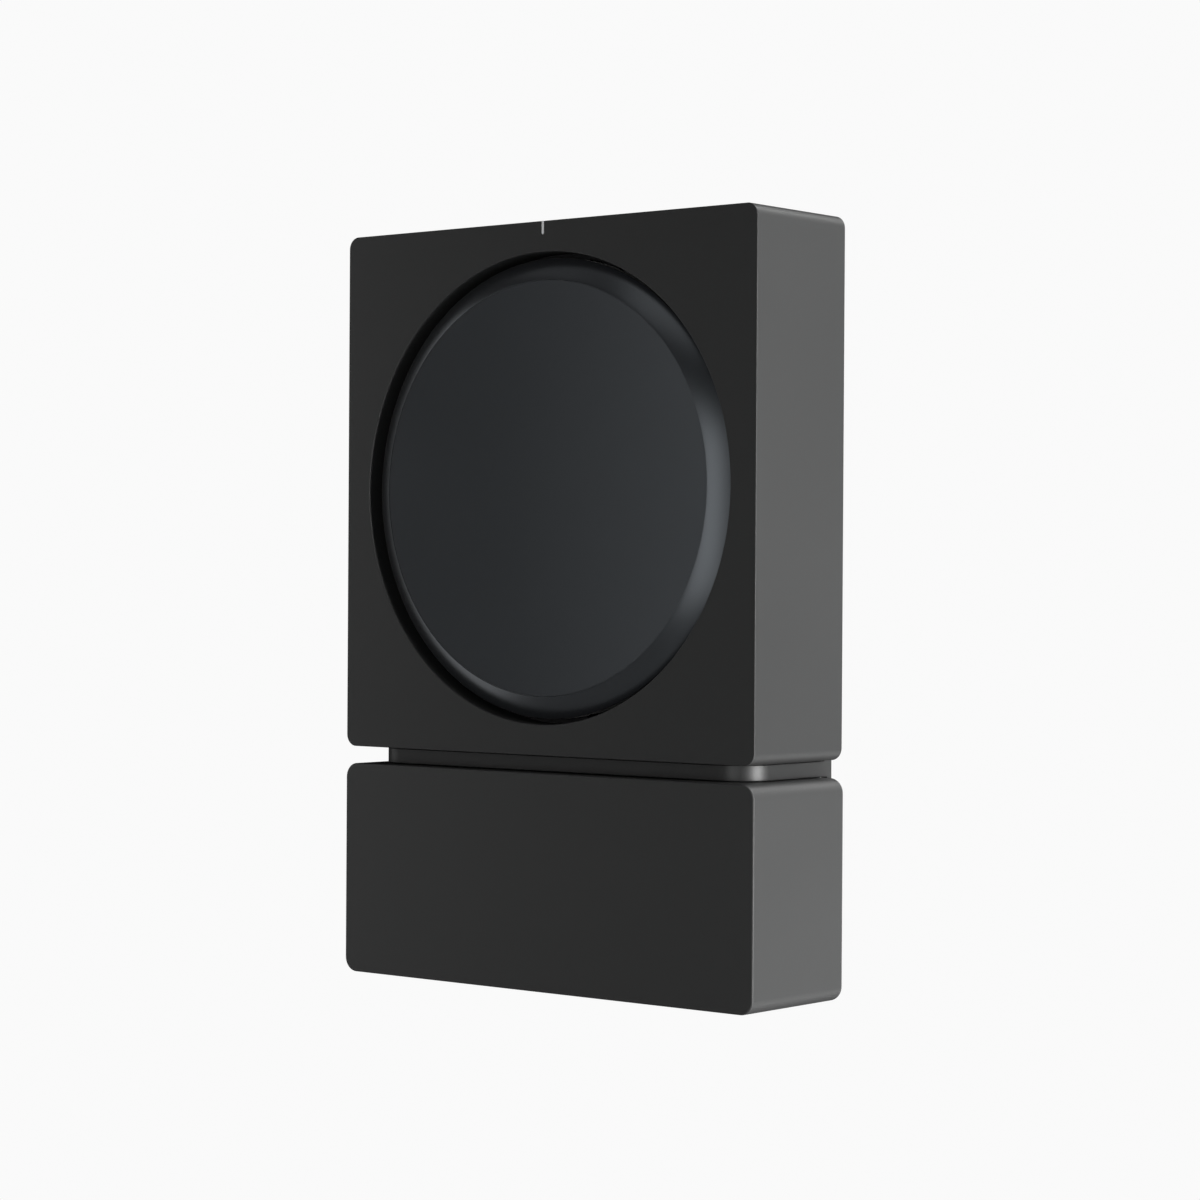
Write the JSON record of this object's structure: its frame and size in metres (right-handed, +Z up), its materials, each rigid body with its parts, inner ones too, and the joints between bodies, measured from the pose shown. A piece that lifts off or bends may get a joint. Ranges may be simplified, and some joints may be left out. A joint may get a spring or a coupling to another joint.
{
  "type": "mesh wifi node",
  "caption": "Wall-hung network amplifier node with a round puck in its square face, a top status light and a cable dock below.",
  "frame": {"origin": "middle of the four wall screw holes, on the wall plane", "axes": "+Z up, +Y into the wall, the face looks along -Y"},
  "size_m": [0.217, 0.0643, 0.3132],
  "materials": {
    "shell_black": "fine moulded matte black",
    "cover_black": "fine moulded matte black",
    "neck_black": "satin moulded black",
    "puck_black": "soft satin black",
    "inner_black": "plain moulded black",
    "terminal_black": "glass filled black",
    "plate_black": "black powder coat on steel",
    "steel": "zinc plated",
    "alloy": "bare extruded",
    "brass": "plain turned",
    "rubber": "matte black rubber",
    "board_green": "solder resist on glass laminate",
    "chip_black": "moulded chip package",
    "light_clear": "frosted clear acrylic",
    "led_white": "white lamp package",
    "button_grey": "moulded grey",
    "ferrite": "ferrite and tape",
    "sleeve_blue": "printed sleeve",
    "winding": "enamelled wire",
    "antenna_tan": "bare laminate",
    "ribbon_grey": "flat flexible cable"
  },
  "bodies": {
    "wall_dock": {"wall_plate": "plate_black", "hang_studs": "steel", "cable_tray": "inner_black", "cable_posts": "inner_black", "tray_screws": "steel", "wall_grommet": "rubber", "ball_studs": "steel", "neck_collar": "neck_black", "neck_seal": "rubber", "collar_screws": "steel"},
    "node_unit": {"housing": "shell_black", "puck_cap": "puck_black", "puck_shoulder": "puck_black", "puck_posts": "alloy", "puck_screws": "steel", "vent_baffle": "inner_black", "light_pipe": "light_clear", "status_led": "led_white", "touch_board": "board_green", "base_plate": "inner_black", "base_screws": "steel", "foot_ring": "rubber", "connector_panel": "inner_black", "panel_screws": "steel", "ethernet_jacks": "steel", "hdmi_jack": "steel", "rca_jacks": "brass", "speaker_terminals": "terminal_black", "mains_inlet": "terminal_black", "inlet_pins": "alloy", "join_switch": "chip_black", "main_board": "board_green", "board_standoffs": "brass", "board_screws": "steel", "shield_can": "steel", "amp_chips": "chip_black", "heat_bridge": "alloy", "heatsink": "alloy", "heatsink_posts": "brass", "power_board": "board_green", "transformer": "ferrite", "capacitors": "sleeve_blue", "choke": "winding", "radio_card": "board_green", "antennas": "antenna_tan", "ribbon_cable": "ribbon_grey"},
    "cable_cover": {"dock_cover": "cover_black", "catch_sockets": "brass", "exit_grommet": "rubber"},
    "setup_button": {"join_button": "button_grey"}
  },
  "joints": [
    {"name": "unit_lift", "type": "slide", "parent": "wall_dock", "child": "node_unit", "axis": [0, 0, 1], "range_m": [0, 0.013]},
    {"name": "cover_pull", "type": "slide", "parent": "wall_dock", "child": "cable_cover", "axis": [0, -1, 0], "range_m": [0, 0.075]},
    {"name": "button_press", "type": "slide", "parent": "node_unit", "child": "setup_button", "axis": [0, 0, 1], "range_m": [0, 0.001], "stiffness_N_per_m": 300, "springref_m": -0.001}
  ]
}
